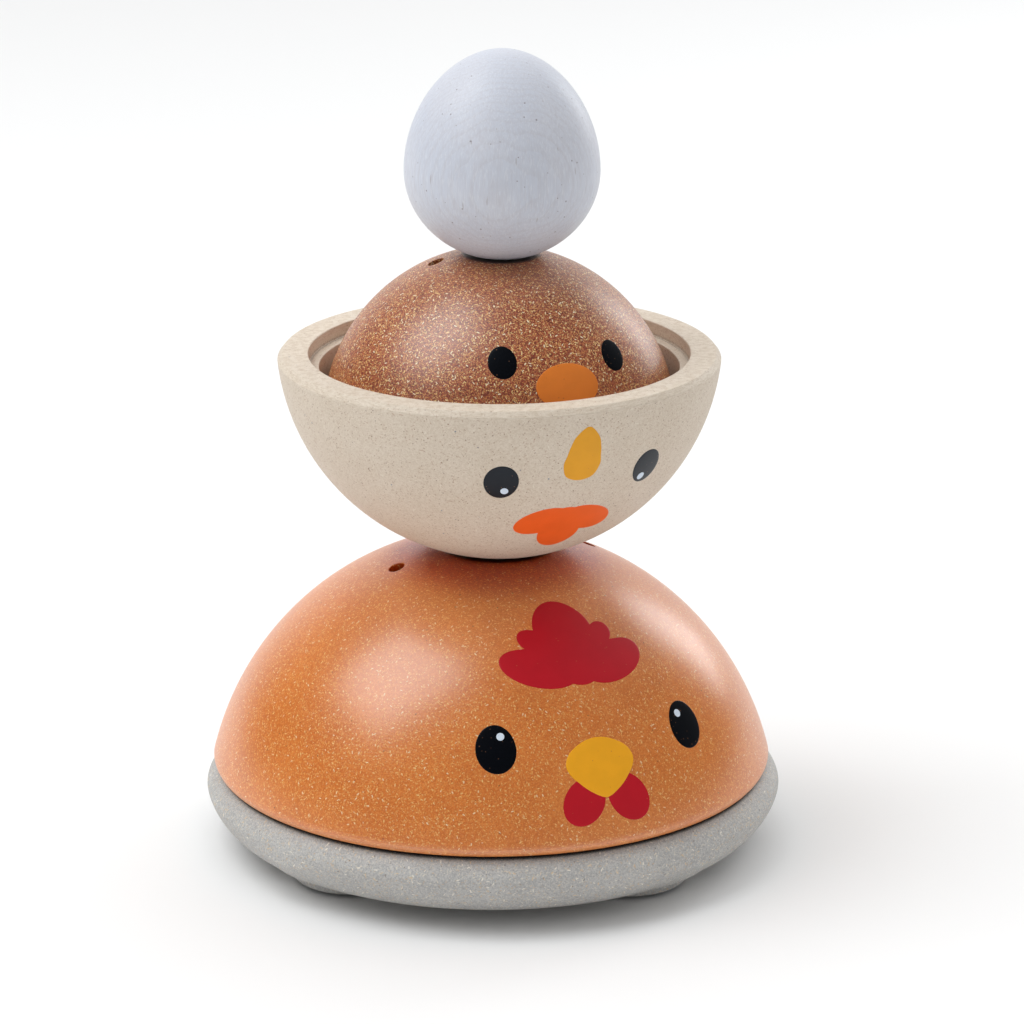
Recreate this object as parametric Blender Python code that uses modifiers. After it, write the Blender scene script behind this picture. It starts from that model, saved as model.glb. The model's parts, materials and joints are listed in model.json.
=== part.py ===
"""A stacking and nesting toy hen family turned from pressed wood composite.

A round nest base on four feet carries a hen shell. A smaller hen shell stands upside down
on its crown as a bowl, a chick shell stands in the bowl, and a wooden egg stands on the chick.
Every shell is open below, so the whole family also nests, one under the other, on the base.
Lengths are in metres, +Z is up, the faces painted on the shells look along -Y.
"""

import math

import bmesh
import bpy
from mathutils import Vector

MM = 0.001
FIT_GAP = 0.3 * MM
MERGE = 0.001 * MM

# Nest base: a thick dish with a round side, on four feet of one piece with it
BASE_RADIUS = 67.5 * MM
BASE_SEAT_Z = 18.1 * MM
BASE_WIDEST_Z = 13.2 * MM
BASE_SEAT_RADIUS = 62.6 * MM
BASE_FLOOR_RADIUS = 59.8 * MM
BASE_CURVE_POWER = 1.5
FOOT_HEIGHT = 3.9 * MM
FOOT_CIRCLE = 45.0 * MM
FOOT_ANGLES = (19.0, 109.0, 199.0, 289.0)
FOOT_TREAD_RADIUS = 8.0 * MM
FOOT_BULGE_WIDTH = 6.0 * MM
FOOT_BULGE_HEIGHT = 2.25 * MM
FOOT_FLARE_WIDTH = 3.3 * MM
FOOT_ROOT = 0.8 * MM

# Inside the nest base: a hollow for the egg, and a ring that each shell's stepped rim drops over
HOLLOW_CURVE = 26.0 * MM
HOLLOW_DEPTH = 11.5 * MM
RING_RISE = 2.7 * MM
RING_PLAY = 0.6 * MM
NESTING_PLAY = 2.7 * MM

# Where each turned piece stands on the one below, put there by hand and so a little off centre
HEN_PLACE = Vector((-0.36, 0.17, 0.0)) * MM
WHITE_PLACE = Vector((1.45, -0.68, 0.0)) * MM
CHICK_PLACE = Vector((1.39, -0.65, 0.0)) * MM
EGG_PLACE = Vector((2.05, -0.96, 0.0)) * MM

# Three shells of one family, each measured up from its own open edge
HEN = {
    "dome_radius": 67.52 * MM,
    "dome_rise": 68.88 * MM,
    "dome_sink": 15.24 * MM,
    "height": 52.15 * MM,
    "edge_width": 1.4 * MM,
    "edge_height": 2.0 * MM,
    "edge_start": 120.0,
    "edge_steps": 2,
    "step_radius": 58.7 * MM,
    "step_depth": 3.2 * MM,
    "bore_radius": 56.3 * MM,
    "bore_depth": 3.2 * MM,
    "hollow_radius": 56.3 * MM,
    "hollow_rise": 44.8 * MM,
    "vent_spacing": 49.2 * MM,
    "vent_middle": (1.3 * MM, 1.6 * MM),
    "facets": 64,
    "dome_steps": 11,
    "hollow_steps": 8,
}
WHITE = {
    "dome_radius": 51.24 * MM,
    "dome_rise": 51.60 * MM,
    "dome_sink": 3.90 * MM,
    "height": 46.62 * MM,
    "edge_width": 1.1 * MM,
    "edge_height": 1.3 * MM,
    "edge_start": 90.0,
    "edge_steps": 1,
    "step_radius": 43.87 * MM,
    "step_depth": 3.23 * MM,
    "bore_radius": 41.4 * MM,
    "bore_depth": 14.62 * MM,
    "hollow_radius": 39.5 * MM,
    "hollow_rise": 28.0 * MM,
    "vent_spacing": 37.0 * MM,
    "vent_middle": (0.0, 0.0),
    "facets": 60,
    "dome_steps": 11,
    "hollow_steps": 7,
}
CHICK = {
    "dome_radius": 40.95 * MM,
    "dome_rise": 41.66 * MM,
    "dome_sink": 3.46 * MM,
    "height": 37.30 * MM,
    "edge_width": 0.7 * MM,
    "edge_height": 1.0 * MM,
    "edge_start": 120.0,
    "edge_steps": 2,
    "step_radius": 34.2 * MM,
    "step_depth": 3.2 * MM,
    "bore_radius": 32.0 * MM,
    "bore_depth": 3.2 * MM,
    "hollow_radius": 32.0 * MM,
    "hollow_rise": 30.4 * MM,
    "vent_spacing": 26.8 * MM,
    "vent_middle": (0.0, 5.4 * MM),
    "facets": 52,
    "dome_steps": 10,
    "hollow_steps": 7,
}
VENT_RADIUS = 1.95 * MM
VENT_DRILL_LENGTH = 30.0 * MM

# Egg: blunt end down, with a small flat to stand on
EGG_RADIUS = 22.35 * MM
EGG_LOWER = 20.5 * MM
EGG_UPPER = 27.55 * MM
EGG_FLAT_DROP = 19.4 * MM
EGG_UPPER_POWER = 1.9

# Heights in the tower, from the face that the feet stand on
HEN_Z = BASE_SEAT_Z + FIT_GAP
WHITE_Z = HEN_Z + HEN["height"] + FIT_GAP + WHITE["height"]
CHICK_Z = WHITE_Z - WHITE["bore_depth"] + FIT_GAP
EGG_Z = CHICK_Z + CHICK["height"] + FIT_GAP + EGG_FLAT_DROP

# Facets round the other turned pieces, and steps along the curves of their profiles
BASE_FACETS = 64
EGG_FACETS = 48
FOOT_FACETS = 24
VENT_FACETS = 12
EGG_HOLLOW_STEPS = 5
BASE_SHOULDER_STEPS = 5
BASE_SIDE_STEPS = 6
FOOT_FLARE_STEPS = 3
FOOT_BULGE_STEPS = 4
EGG_UPPER_STEPS = 9
EGG_LOWER_STEPS = 6


def clear_scene():
    """Removes whatever the scene holds."""
    for item in list(bpy.data.objects):
        bpy.data.objects.remove(item, do_unlink=True)


def new_collection(name):
    """A collection linked to the scene."""
    made = bpy.data.collections.new(name)
    bpy.context.scene.collection.children.link(made)
    return made


def principled(name, colour, roughness):
    """A plain Principled material."""
    made = bpy.data.materials.new(name)
    made.use_nodes = True
    shader = made.node_tree.nodes["Principled BSDF"]
    shader.inputs["Base Color"].default_value = (*colour, 1.0)
    shader.inputs["Roughness"].default_value = roughness
    shader.inputs["Metallic"].default_value = 0.0
    return made


def arc(centre, size, start, end, count, power=2.0):
    """Points (radius, z) on a rounded curve. Angles are from straight up, towards +X.

    A power of 2 is an ellipse. A smaller one is leaner and a larger one is fuller.
    """
    points = []
    for step in range(count + 1):
        angle = math.radians(start + (end - start) * step / count)
        across = math.sin(angle)
        up = math.cos(angle)
        r = centre[0] + size[0] * math.copysign(abs(across) ** (2.0 / power), across)
        z = centre[1] + size[1] * math.copysign(abs(up) ** (2.0 / power), up)
        points.append((r, z))
    return points


def turned(name, profile, facets, collection):
    """A solid turned about its own Z axis from a profile of (radius, z) points."""
    mesh = bpy.data.meshes.new(name)
    mesh.from_pydata([(r, 0.0, z) for r, z in profile], [(i, i + 1) for i in range(len(profile) - 1)], [])
    made = bpy.data.objects.new(name, mesh)
    collection.objects.link(made)
    screw = made.modifiers.new("turn", "SCREW")
    screw.axis = "Z"
    screw.angle = math.tau
    screw.steps = facets
    screw.render_steps = facets
    screw.use_merge_vertices = True
    screw.merge_threshold = MERGE
    screw.use_smooth_shade = True
    return made


def boolean(target, tool, operation):
    """Cuts a tool from a target or joins it on."""
    modifier = target.modifiers.new(tool.name, "BOOLEAN")
    modifier.operation = operation
    modifier.object = tool
    modifier.solver = "EXACT"


def hide_tool(tool):
    """Marks a cutter or a joined shape as a tool, which isn't a piece."""
    tool.hide_render = True
    tool.display_type = "WIRE"


def dome_height(shell, radius):
    """How high the outside of a shell's dome is above its edge, at a radius."""
    return shell["dome_rise"] * math.sqrt(1.0 - (radius / shell["dome_radius"]) ** 2) - shell["dome_sink"]


def shell_profile(shell):
    """Half the section of a shell: down the dome, round the edge, up the stepped rim and the hollow."""
    crown_angle = math.degrees(math.acos((shell["height"] + shell["dome_sink"]) / shell["dome_rise"]))
    width, height = shell["edge_width"], shell["edge_height"]
    edge_angle = math.degrees(math.acos((height + shell["dome_sink"]) / shell["dome_rise"]))
    size = (shell["dome_radius"], shell["dome_rise"])
    dome = arc((0.0, -shell["dome_sink"]), size, crown_angle, edge_angle, shell["dome_steps"])
    edge_centre = (dome[-1][0] - width, height)
    edge = arc(edge_centre, (width, height), shell["edge_start"], 180.0, shell["edge_steps"])
    rim = [
        (shell["step_radius"], 0.0),
        (shell["step_radius"], shell["step_depth"]),
        (shell["bore_radius"], shell["step_depth"]),
    ]
    if shell["bore_depth"] > shell["step_depth"]:
        rim.append((shell["bore_radius"], shell["bore_depth"]))
        rim.append((shell["hollow_radius"], shell["bore_depth"]))
    hollow_size = (shell["hollow_radius"], shell["hollow_rise"])
    hollow = arc((0.0, shell["bore_depth"]), hollow_size, 90.0, 0.0, shell["hollow_steps"])
    return [(0.0, shell["height"])] + dome + edge + rim + hollow[1:-1] + [(0.0, hollow[-1][1])]


def drill_vents(piece, shell, cutters):
    """Two small air holes through a shell's dome, one on each side of the face, square to the surface."""
    for side in (-1.0, 1.0):
        x = shell["vent_middle"][0] + side * shell["vent_spacing"] / 2.0
        y = shell["vent_middle"][1]
        across = math.hypot(x, y)
        up = dome_height(shell, across)
        outward = across / shell["dome_radius"] ** 2
        upward = (up + shell["dome_sink"]) / shell["dome_rise"] ** 2
        lean = math.atan2(outward, upward)
        mesh = bpy.data.meshes.new("vent_drill")
        form = bmesh.new()
        bmesh.ops.create_cone(
            form,
            cap_ends=True,
            segments=VENT_FACETS,
            radius1=VENT_RADIUS,
            radius2=VENT_RADIUS,
            depth=VENT_DRILL_LENGTH,
        )
        form.to_mesh(mesh)
        form.free()
        drill = bpy.data.objects.new(f"{piece.name}_vent_drill_{'left' if side < 0 else 'right'}", mesh)
        cutters.objects.link(drill)
        drill.parent = piece
        drill.location = (x, y, up)
        drill.rotation_euler = (0.0, lean, math.atan2(y, x))
        hide_tool(drill)
        boolean(piece, drill, "DIFFERENCE")


def make_shell(name, shell, place, z, material, parts, cutters):
    """One shell of the family, its origin at the middle of its open edge."""
    piece = turned(name, shell_profile(shell), shell["facets"], parts)
    piece.location = (place.x, place.y, z)
    piece.data.materials.append(material)
    drill_vents(piece, shell, cutters)
    return piece


def base_profile():
    """Half the section of the nest base: the hollow, the three locating rings, the round side, the floor."""
    ring_z = BASE_SEAT_Z + RING_RISE
    curve_z = BASE_SEAT_Z - HOLLOW_DEPTH + HOLLOW_CURVE
    mouth_angle = math.degrees(math.acos((ring_z - curve_z) / HOLLOW_CURVE))
    points = arc((0.0, curve_z), (HOLLOW_CURVE, HOLLOW_CURVE), 180.0, mouth_angle, EGG_HOLLOW_STEPS)
    points[0] = (0.0, points[0][1])
    rings = [
        (None, CHICK["step_radius"] - RING_PLAY),
        (CHICK["dome_radius"] + RING_PLAY, WHITE["step_radius"] - RING_PLAY),
        (WHITE["dome_radius"] + NESTING_PLAY, HEN["step_radius"] - RING_PLAY),
    ]
    for inner, outer in rings:
        if inner is not None:
            points.append((inner, BASE_SEAT_Z))
            points.append((inner, ring_z))
        points.append((outer, ring_z))
        points.append((outer, BASE_SEAT_Z))
    shoulder_centre = (BASE_SEAT_RADIUS, BASE_WIDEST_Z)
    shoulder = (BASE_RADIUS - BASE_SEAT_RADIUS, BASE_SEAT_Z - BASE_WIDEST_Z)
    points += arc(shoulder_centre, shoulder, 0.0, 90.0, BASE_SHOULDER_STEPS, BASE_CURVE_POWER)
    side_centre = (BASE_FLOOR_RADIUS, BASE_WIDEST_Z)
    side = (BASE_RADIUS - BASE_FLOOR_RADIUS, BASE_WIDEST_Z - FOOT_HEIGHT)
    points += arc(side_centre, side, 90.0, 180.0, BASE_SIDE_STEPS, BASE_CURVE_POWER)[1:]
    points.append((0.0, FOOT_HEIGHT))
    return points


def foot_profile():
    """Half the section of a foot: a flared root in the base, and a soft bulge down to a flat tread."""
    root_z = FOOT_HEIGHT + FOOT_ROOT
    waist = FOOT_TREAD_RADIUS + FOOT_BULGE_WIDTH
    root_radius = waist + FOOT_FLARE_WIDTH
    flare = (-FOOT_FLARE_WIDTH, root_z - FOOT_BULGE_HEIGHT)
    points = [(0.0, root_z)]
    points += arc((root_radius, FOOT_BULGE_HEIGHT), flare, 0.0, 90.0, FOOT_FLARE_STEPS)
    bulge = (FOOT_BULGE_WIDTH, FOOT_BULGE_HEIGHT)
    points += arc((FOOT_TREAD_RADIUS, FOOT_BULGE_HEIGHT), bulge, 90.0, 180.0, FOOT_BULGE_STEPS)[1:]
    points.append((0.0, 0.0))
    return points


def make_base(material, parts, cutters):
    """The nest base with its four feet joined on."""
    base = turned("nest_base", base_profile(), BASE_FACETS, parts)
    base.data.materials.append(material)
    for number, angle in enumerate(FOOT_ANGLES, 1):
        foot = turned(f"foot_blank_{number}", foot_profile(), FOOT_FACETS, cutters)
        turn = math.radians(angle)
        foot.location = (FOOT_CIRCLE * math.cos(turn), FOOT_CIRCLE * math.sin(turn), 0.0)
        hide_tool(foot)
        boolean(base, foot, "UNION")
    return base


def egg_profile():
    """Half the section of the egg: the narrow end above, the blunt end below, cut flat."""
    flat_angle = 90.0 + math.degrees(math.asin(EGG_FLAT_DROP / EGG_LOWER))
    upper = arc((0.0, 0.0), (EGG_RADIUS, EGG_UPPER), 0.0, 90.0, EGG_UPPER_STEPS, EGG_UPPER_POWER)
    lower = arc((0.0, 0.0), (EGG_RADIUS, EGG_LOWER), 90.0, flat_angle, EGG_LOWER_STEPS)
    upper[0] = (0.0, EGG_UPPER)
    return upper + lower[1:] + [(0.0, -EGG_FLAT_DROP)]


def make_egg(material, parts):
    """The egg, its origin on its axis at its widest."""
    egg = turned("egg", egg_profile(), EGG_FACETS, parts)
    egg.location = (EGG_PLACE.x, EGG_PLACE.y, EGG_Z)
    egg.data.materials.append(material)
    return egg


def main():
    clear_scene()
    parts = new_collection("nesting_hens")
    cutters = new_collection("cutters")
    grey = principled("grey_composite", (0.38, 0.35, 0.32), 0.75)
    terracotta = principled("terracotta_composite", (0.58, 0.20, 0.06), 0.5)
    cream = principled("cream_composite", (0.70, 0.58, 0.45), 0.7)
    brown = principled("brown_composite", (0.25, 0.08, 0.03), 0.45)
    white_wash = principled("white_washed_wood", (0.68, 0.66, 0.70), 0.55)
    make_base(grey, parts, cutters)
    make_shell("hen_shell", HEN, HEN_PLACE, HEN_Z, terracotta, parts, cutters)
    bowl = make_shell("white_hen_shell", WHITE, WHITE_PLACE, WHITE_Z, cream, parts, cutters)
    # Turned over about the Y axis, so that its face still looks along -Y
    bowl.rotation_euler = (0.0, math.pi, 0.0)
    make_shell("chick_shell", CHICK, CHICK_PLACE, CHICK_Z, brown, parts, cutters)
    make_egg(white_wash, parts)


main()
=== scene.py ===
# %% [markdown]
# # A nesting hen family, dressed for its portrait
#
# The toy is a tower of five turned pieces: a dish on feet, a hen shell, a smaller hen shell that
# stands upside down as a bowl, a chick shell and a wooden egg. The CAD model already has their
# sizes and the way they lift off one another. This lesson makes the surfaces that a camera sees:
# finely turned shells, painted faces, and a material that looks like pressed sawdust.
#
# We start by loading the CAD model. Every piece made here rides on one of its bodies.

# %% Load the frame
import json
import math

import bmesh
import bpy
import numpy as np
from mathutils import Matrix, Vector

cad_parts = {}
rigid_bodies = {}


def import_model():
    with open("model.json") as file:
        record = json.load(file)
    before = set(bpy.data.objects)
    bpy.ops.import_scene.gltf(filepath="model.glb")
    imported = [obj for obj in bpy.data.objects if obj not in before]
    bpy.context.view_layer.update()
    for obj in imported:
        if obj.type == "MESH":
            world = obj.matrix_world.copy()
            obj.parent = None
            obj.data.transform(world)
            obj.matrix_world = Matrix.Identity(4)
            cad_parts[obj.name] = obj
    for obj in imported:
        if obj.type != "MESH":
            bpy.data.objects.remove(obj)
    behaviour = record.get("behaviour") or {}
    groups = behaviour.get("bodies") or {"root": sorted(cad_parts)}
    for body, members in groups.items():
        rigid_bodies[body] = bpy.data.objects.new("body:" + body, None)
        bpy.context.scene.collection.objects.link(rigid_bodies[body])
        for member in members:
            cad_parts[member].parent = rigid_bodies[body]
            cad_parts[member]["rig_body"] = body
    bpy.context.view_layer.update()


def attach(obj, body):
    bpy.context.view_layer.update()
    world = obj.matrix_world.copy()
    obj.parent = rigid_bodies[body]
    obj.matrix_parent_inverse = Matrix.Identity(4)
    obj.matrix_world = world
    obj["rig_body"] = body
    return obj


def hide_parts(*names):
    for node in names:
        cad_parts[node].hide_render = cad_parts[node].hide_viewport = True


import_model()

MM = 0.001

# %% [markdown]
# ## Looking at it
#
# A long lens keeps the round pieces round. The camera stands about a metre away, 25 degrees to one
# side of the faces, and looks down by almost 18 degrees. The lens could be found by trial, but here
# the tower's known heights and widths fix it, so the picture keeps the toy's true proportions.

# %% The camera
CAMERA_PLACE = Vector((-405.15, -879.49, 386.64)) * MM
CAMERA_SIDE = math.radians(25.0)
CAMERA_DOWN = math.radians(17.651)
camera = bpy.data.objects.new("camera", bpy.data.cameras.new("camera"))
camera.location = CAMERA_PLACE
camera.rotation_euler = (math.radians(90.0) - CAMERA_DOWN, 0.0, -CAMERA_SIDE)
camera.data.sensor_width = 36.0
camera.data.lens = 153.73
bpy.context.scene.collection.objects.link(camera)
bpy.context.scene.camera = camera
print("camera is", round(CAMERA_PLACE.length, 3), "m from the toy's foot")

# %% [markdown]
# ## Curves for turned work
#
# Everything round here is turned, so it starts as half a section: a line of (radius, height) points
# in millimetres. Two helpers draw such lines. The first gives part of an ellipse. The second takes
# straight runs and rounds each corner with a small arc, because a sharp corner on wood never
# catches the light.

# %% Helpers for half sections
def arc(middle, size, start, end, count, power=2.0):
    """Points on an ellipse. Angles are in degrees from straight up, and a low power makes it leaner."""
    turn = np.radians(np.linspace(start, end, count + 1))
    across, up = np.sin(turn), np.cos(turn)
    r = middle[0] + size[0] * np.sign(across) * np.abs(across) ** (2.0 / power)
    z = middle[1] + size[1] * np.sign(up) * np.abs(up) ** (2.0 / power)
    return list(zip(r.tolist(), z.tolist()))


def eased(corners, steps=5):
    """A line of corners, each (radius, height, easing): the easing rounds that corner off."""
    line = []
    for before, here, after in zip(corners, corners[1:], corners[2:]):
        p, a, b = (Vector(c[:2]) for c in (here, before, after))
        for step in range(steps + 1):
            t = step / steps
            start, end = p + (a - p).normalized() * here[2], p + (b - p).normalized() * here[2]
            line.append(tuple((1 - t) ** 2 * start + 2 * t * (1 - t) * p + t * t * end))
    return line


print("a quarter circle in 4 steps:", [tuple(round(c, 2) for c in p) for p in arc((0, 0), (1, 1), 0, 90, 4)])

# %% [markdown]
# ## Turning a half section
#
# The Screw modifier could turn the line, but we want the vertices at once, to press feet into the
# dish later. So we work out a ring of points for each point of the line, and join neighbours with
# four-sided faces. The two ends lie on the axis and close with fans of triangles. A Weighted Normal
# modifier then shades the wide faces flat and leaves the bending to the eased corners.

# %% Turn a solid
def turned(name, profile, spokes):
    """A closed solid turned from a half section in millimetres, from the top of the axis to its foot."""
    line = np.array(profile[1:-1])
    turn = np.linspace(0.0, math.tau, spokes, endpoint=False)
    level = np.repeat(line[:, 1:], spokes, 1)
    rings = np.stack([np.outer(line[:, 0], np.cos(turn)), np.outer(line[:, 0], np.sin(turn)), level], 2)
    ends = [[(0.0, 0.0, profile[0][1])], [(0.0, 0.0, profile[-1][1])]]
    points = np.vstack([ends[0], rings.reshape(-1, 3), ends[1]]) * MM
    here = 1 + np.arange(level.size).reshape(level.shape)
    after = np.roll(here, -1, 1)
    faces = np.stack([here[:-1], here[1:], after[1:], after[:-1]], 2).reshape(-1, 4).tolist()
    faces += [(0, a, b) for a, b in zip(here[0].tolist(), after[0].tolist())]
    faces += [(level.size + 1, b, a) for a, b in zip(here[-1].tolist(), after[-1].tolist())]
    mesh = bpy.data.meshes.new(name)
    mesh.from_pydata(points.tolist(), [], faces)
    mesh.shade_smooth()
    made = bpy.data.objects.new(name, mesh)
    bpy.context.scene.collection.objects.link(made)
    return made


def shade_by_area(piece):
    """Keeps wide faces flat in shading, beside their eased corners."""
    weighted = piece.modifiers.new("flat faces stay flat", "WEIGHTED_NORMAL")
    weighted.keep_sharp = True
    weighted.weight = 80


# %% [markdown]
# ## The three shells
#
# A shell is a dome with a flat crown. Its edge is rounded outside, or bevelled on the white hen, and
# has a step inside, which drops over a ring on the dish or takes the next shell. All three share one
# recipe with other numbers: the dome is an ellipse whose middle lies a little below the edge, by the
# length called sink.

# %% Sizes of the shells, in millimetres from the middle of the open edge
HEN = {
    "radius": 67.52, "rise": 68.88, "sink": 15.24, "height": 52.15, "edge": (1.4, 2.0), "bevelled": False,
    "step": (58.7, 3.2), "bore": (56.3, 3.2), "hollow": (56.3, 44.8), "vents": (49.2, (1.3, 1.6)),
    "spokes": 288,
}
WHITE = {
    "radius": 51.24, "rise": 51.60, "sink": 3.90, "height": 46.62, "edge": (1.1, 1.3), "bevelled": True,
    "step": (43.87, 3.23), "bore": (41.4, 14.62), "hollow": (39.5, 28.0), "vents": (37.0, (0.0, 0.0)),
    "spokes": 256,
}
CHICK = {
    "radius": 40.95, "rise": 41.66, "sink": 3.46, "height": 37.30, "edge": (0.7, 1.0), "bevelled": False,
    "step": (34.2, 3.2), "bore": (32.0, 3.2), "hollow": (32.0, 30.4), "vents": (26.8, (0.0, 5.4)),
    "spokes": 224,
}
EASING = 0.35
CROWN_EASING = 1.6


def shell_section(shell):
    """Half the section of a shell, from the crown down the dome, round the edge and up the hollow."""
    rise, sink = shell["rise"], shell["sink"]
    wide, high = shell["edge"]
    crown = math.degrees(math.acos((shell["height"] + sink) / rise))
    brow = math.degrees(math.acos((high + sink) / rise))
    dome = arc((0.0, -sink), (shell["radius"], rise), crown, brow, 90)
    soft_crown = eased([(0.0, shell["height"], 0.0), (*dome[0], CROWN_EASING), (*dome[4], 0.0)])
    step, bore, hollow = shell["step"], shell["bore"], shell["hollow"]
    foot = dome[-1][0] - wide
    if shell["bevelled"]:
        edge = eased([(*dome[-4], 0.0), (*dome[-1], 0.2), (foot, 0.0, 0.2), (step[0], 0.0, 0.0)])
    else:
        edge = arc((foot, high), (wide, high), 90.0, 180.0, 9)
    corners = [(*edge[-1], 0.0), (step[0], 0.0, EASING), (*step, EASING), (bore[0], step[1], EASING)]
    if bore[1] > step[1]:
        corners += [(*bore, EASING), (hollow[0], bore[1], EASING)]
    inside = arc((0.0, bore[1]), hollow, 88.0, 0.0, 48)
    corners.append((*inside[0], 0.0))
    return [(0.0, shell["height"])] + soft_crown + dome[4:-1] + edge + eased(corners) + inside


print("points in the hen's half section:", len(shell_section(HEN)))

# %% [markdown]
# ## Air holes
#
# Each shell has two small air holes beside its crown. They are drilled square to the dome, with the
# mouth slightly rounded. A Boolean with a turned drill is the plain way to do this. The drill flares
# where it leaves the dome, so the hole gets its soft lip from the same cut. The pair isn't quite
# centred on the crown: on the hen it stands a little, and on the chick well, behind the middle.

# %% Drill the shells
VENT_RADIUS = 1.95
VENT_LIP = 0.15


def drilled(piece, shell):
    """Cuts both air holes and keeps the result as the piece's own mesh."""
    reach = VENT_RADIUS + VENT_LIP
    lip = arc((reach, -VENT_LIP), (-VENT_LIP, VENT_LIP), 0.0, 90.0, 6)
    section = [(0.0, 6.0), (reach, 6.0)] + lip + [(VENT_RADIUS, -16.0), (0.0, -16.0)]
    drills = []
    spacing, (middle, back) = shell["vents"]
    for side in (-1.0, 1.0):
        place = Vector((middle + side * spacing / 2.0, back, 0.0))
        across = place.length
        up = shell["rise"] * math.sqrt(1.0 - (across / shell["radius"]) ** 2)
        lean = math.atan2(across / shell["radius"] ** 2, up / shell["rise"] ** 2)
        drill = turned("drill", section, 48)
        drill.location = (place + Vector((0.0, 0.0, up - shell["sink"]))) * MM
        drill.rotation_euler = (0.0, lean, math.atan2(place.y, place.x))
        cut = piece.modifiers.new("air hole", "BOOLEAN")
        cut.object = drill
        drills.append(drill)
    bpy.context.view_layer.update()
    depsgraph = bpy.context.evaluated_depsgraph_get()
    mesh = bpy.data.meshes.new_from_object(piece.evaluated_get(depsgraph))
    piece.modifiers.clear()
    piece.data = mesh
    for drill in drills:
        bpy.data.objects.remove(drill)
    return piece


# %% [markdown]
# ## Standing the shells in the tower
#
# Nobody stacks toys dead centre. Each piece stands a millimetre or two off the one below, where a
# hand put it. The white shell is turned over about Y, so its face still looks the same way, only
# upside down. Each new shell replaces its plain CAD node and rides on the same body.

# %% Make the shells
SHELLS = {}
for name, shell, node, body, slot, place, over in (
    ("hen_dome", HEN, "hen_shell", "hen", "terracotta_composite", (-0.36, 0.17, 18.4), 0.0),
    (
        "white_hen_bowl", WHITE, "white_hen_shell", "white_hen", "cream_composite",
        (1.45, -0.68, 117.47), math.pi,
    ),
    ("chick_dome", CHICK, "chick_shell", "chick", "brown_composite", (1.39, -0.65, 103.15), 0.0),
):
    piece = drilled(turned(name, shell_section(shell), shell["spokes"]), shell)
    shade_by_area(piece)
    piece.matrix_world = Matrix.Translation(Vector(place) * MM) @ Matrix.Rotation(over, 4, "Y")
    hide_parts(node)
    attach(piece, body)
    SHELLS[name] = piece
    print(name, "has", len(piece.data.polygons), "faces and stands at", place)

# %% [markdown]
# ## The nest base
#
# The dish is one turned piece too: a hollow for the egg in the middle, three low rings that the
# shells drop over, and a round side. Its four feet swell out of the underside. Joining four turned
# feet with a Boolean leaves a hard seam, so we press them instead: every point under the dish
# is drawn down to the foot's own curve, with a smooth minimum that blends the two like soft clay.

# %% The dish, before it has feet
BASE_SEAT, BASE_WIDEST, FLOOR = 18.1, 13.2, 3.9
LEAN_CURVE = 1.5
RING_TOP = 20.8


def base_section():
    """Half the section of the dish: egg hollow, rings, round side and flat underside."""
    hollow = arc((0.0, 32.6), (26.0, 26.0), 180.0, 120.0, 30)
    corners = [(*hollow[-1], 0.0), (23.3, RING_TOP, 0.8)]
    for inner, outer in ((33.6, 41.55), (43.27, 53.94)):
        corners += [(inner, RING_TOP, 0.5), (inner, BASE_SEAT, 0.3)]
        corners += [(outer, BASE_SEAT, 0.3), (outer, RING_TOP, 0.5)]
    corners += [(58.1, RING_TOP, 0.5), (58.1, BASE_SEAT, 0.3), (62.6, BASE_SEAT, 0.0)]
    shoulder = arc((62.6, BASE_WIDEST), (4.9, BASE_SEAT - BASE_WIDEST), 0.0, 90.0, 24, LEAN_CURVE)
    side = arc((59.8, BASE_WIDEST), (7.7, BASE_WIDEST - FLOOR), 90.0, 180.0, 34, LEAN_CURVE)
    floor = [(r, FLOOR) for r in np.linspace(59.2, 0.0, 84).tolist()]
    return hollow + eased(corners) + shoulder + side[1:] + floor


print("points in the dish's half section:", len(base_section()))

# %% Press the feet into the underside
FOOT_CIRCLE, FOOT_ANGLES = 45.0, (19.0, 109.0, 199.0, 289.0)
TREAD, BULGE, FLARE = 8.0, (6.0, 2.25), (3.3, 2.45)
SOFT_JOIN = 0.9


def foot_height(distance):
    """How high a foot's surface is above the table, at a distance from the foot's own middle."""
    bulge = BULGE[1] * (1.0 - np.sqrt(1.0 - np.clip((distance - TREAD) / BULGE[0], 0.0, 1.0) ** 2))
    waist = TREAD + BULGE[0]
    flare = np.clip((distance - waist) / FLARE[0], 0.0, 1.0)
    rise = FLARE[1] * np.sqrt(1.0 - (1.0 - flare) ** 2)
    return bulge + rise + np.maximum(distance - waist - FLARE[0], 0.0)


def soft_minimum(a, b, width):
    """The lower of two heights, blended where they meet."""
    share = np.clip(0.5 + 0.5 * (b - a) / width, 0.0, 1.0)
    return b + (a - b) * share - width * share * (1.0 - share)


nest = turned("nest_dish", base_section(), 360)
points = np.array([v.co for v in nest.data.vertices]) / MM
under = points[:, 2] < BASE_WIDEST - 0.5
for degrees in FOOT_ANGLES:
    middle = FOOT_CIRCLE * np.array([math.cos(math.radians(degrees)), math.sin(math.radians(degrees))])
    away = np.hypot(*(points[:, :2] - middle).T)
    near = under & (away < 24.0)
    points[near, 2] = soft_minimum(points[near, 2], foot_height(away[near]), SOFT_JOIN)
points[:, 2] = np.maximum(points[:, 2], 0.0)
nest.data.vertices.foreach_set("co", (points * MM).astype(np.float32).ravel())
nest.data.update()
shade_by_area(nest)
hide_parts("nest_base")
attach(nest, "base")
print("the dish has", len(nest.data.polygons), "faces, lowest point", round(points[:, 2].min(), 3), "mm")

# %% [markdown]
# ## The egg
#
# The egg is solid wood. Its lower half is a plain ellipse and its upper half a leaner, longer one,
# which gives the point. It stands on a small flat, eased so that it doesn't look sawn off.

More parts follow.
